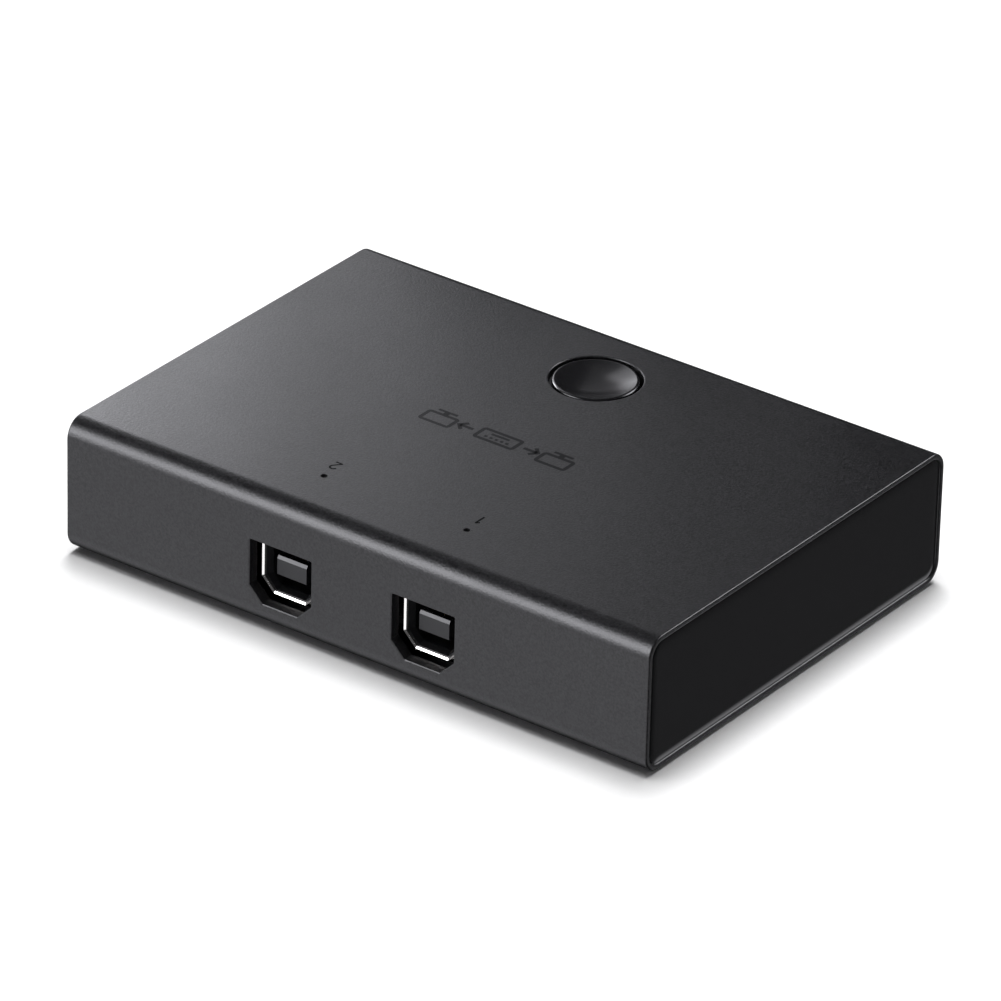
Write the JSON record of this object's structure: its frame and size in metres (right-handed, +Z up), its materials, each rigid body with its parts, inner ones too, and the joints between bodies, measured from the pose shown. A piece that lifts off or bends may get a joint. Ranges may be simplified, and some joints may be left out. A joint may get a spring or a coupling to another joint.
{
  "type": "two computer usb sharing switch",
  "caption": "Flat rounded desktop switch box with glossy end panels, a concave push button on top, type B sockets for the computers in front and type A sockets for shared devices behind.",
  "frame": {"origin": "middle of the footprint, on the surface that the rubber feet stand on", "axes": "+Z up, +X along the long side, -Y towards the wall with the two type B computer sockets"},
  "size_m": [0.11, 0.0776, 0.0233],
  "materials": {
    "case_plastic": "fine matt spark texture, dark grey",
    "panel_gloss": "piano black, polished",
    "button_plastic": "satin black",
    "inner_plastic": "moulded black",
    "socket_plastic": "moulded dark grey, glass filled",
    "plated_shell": "nickel plated stamped sheet",
    "contact_gold": "gold flashed",
    "screw_steel": "zinc plated",
    "foot_rubber": "matt moulded rubber",
    "board_laminate": "green solder mask over glass fibre laminate",
    "chip_plastic": "moulded epoxy",
    "tinned_lead": "tinned",
    "can_metal": "drawn can, satin",
    "plunger_plastic": "natural nylon",
    "lens_clear": "clear moulded acrylic",
    "fuse_green": "coated",
    "chip_ceramic": "fired multilayer ceramic"
  },
  "bodies": {
    "case": {"case_sleeve": "case_plastic", "end_frame_left": "inner_plastic", "end_frame_right": "inner_plastic", "end_panel_left": "panel_gloss", "end_panel_right": "panel_gloss", "end_screws_left": "screw_steel", "end_screws_right": "screw_steel", "foot_front_left": "foot_rubber", "foot_front_right": "foot_rubber", "foot_rear_left": "foot_rubber", "foot_rear_right": "foot_rubber", "circuit_board": "board_laminate", "host_socket_shell_1": "plated_shell", "host_socket_shell_2": "plated_shell", "host_socket_insert_1": "socket_plastic", "host_socket_insert_2": "socket_plastic", "host_socket_contacts_1": "contact_gold", "host_socket_contacts_2": "contact_gold", "device_socket_shell_1": "plated_shell", "device_socket_shell_2": "plated_shell", "device_socket_shell_3": "plated_shell", "device_socket_shell_4": "plated_shell", "device_socket_tongue_1": "socket_plastic", "device_socket_tongue_2": "socket_plastic", "device_socket_tongue_3": "socket_plastic", "device_socket_tongue_4": "socket_plastic", "device_socket_contacts_1": "contact_gold", "device_socket_contacts_2": "contact_gold", "device_socket_contacts_3": "contact_gold", "device_socket_contacts_4": "contact_gold", "power_socket_shell": "plated_shell", "power_socket_tongue": "socket_plastic", "power_socket_contacts": "contact_gold", "switch_dome": "can_metal", "switch_base": "inner_plastic", "switch_cover": "tinned_lead", "switch_terminals": "tinned_lead", "indicator_led_1": "lens_clear", "indicator_led_2": "lens_clear", "light_pipe_1": "lens_clear", "light_pipe_2": "lens_clear", "hub_chip": "chip_plastic", "hub_chip_pins": "tinned_lead", "mux_chip_1": "chip_plastic", "mux_chip_2": "chip_plastic", "mux_chip_pins": "tinned_lead", "crystal_can": "can_metal", "smoothing_capacitors": "can_metal", "capacitor_bases": "chip_plastic", "port_fuses": "fuse_green", "chip_capacitors": "chip_ceramic", "chip_resistors": "chip_plastic"},
    "button": {"button_cap": "button_plastic"},
    "plunger": {"switch_plunger": "plunger_plastic"}
  },
  "joints": [
    {"name": "button_press", "type": "slide", "parent": "case", "child": "button", "axis": [0, 0, -1], "range_m": [0, 0.0006], "stiffness_N_per_m": 3000},
    {"name": "plunger_press", "type": "slide", "parent": "case", "child": "plunger", "axis": [0, 0, -1], "range_m": [0, 0.0006], "deforming": ["switch_dome"]}
  ],
  "couplings": [
    {"joint": "plunger_press", "follows": "button_press", "ratio": 1}
  ]
}
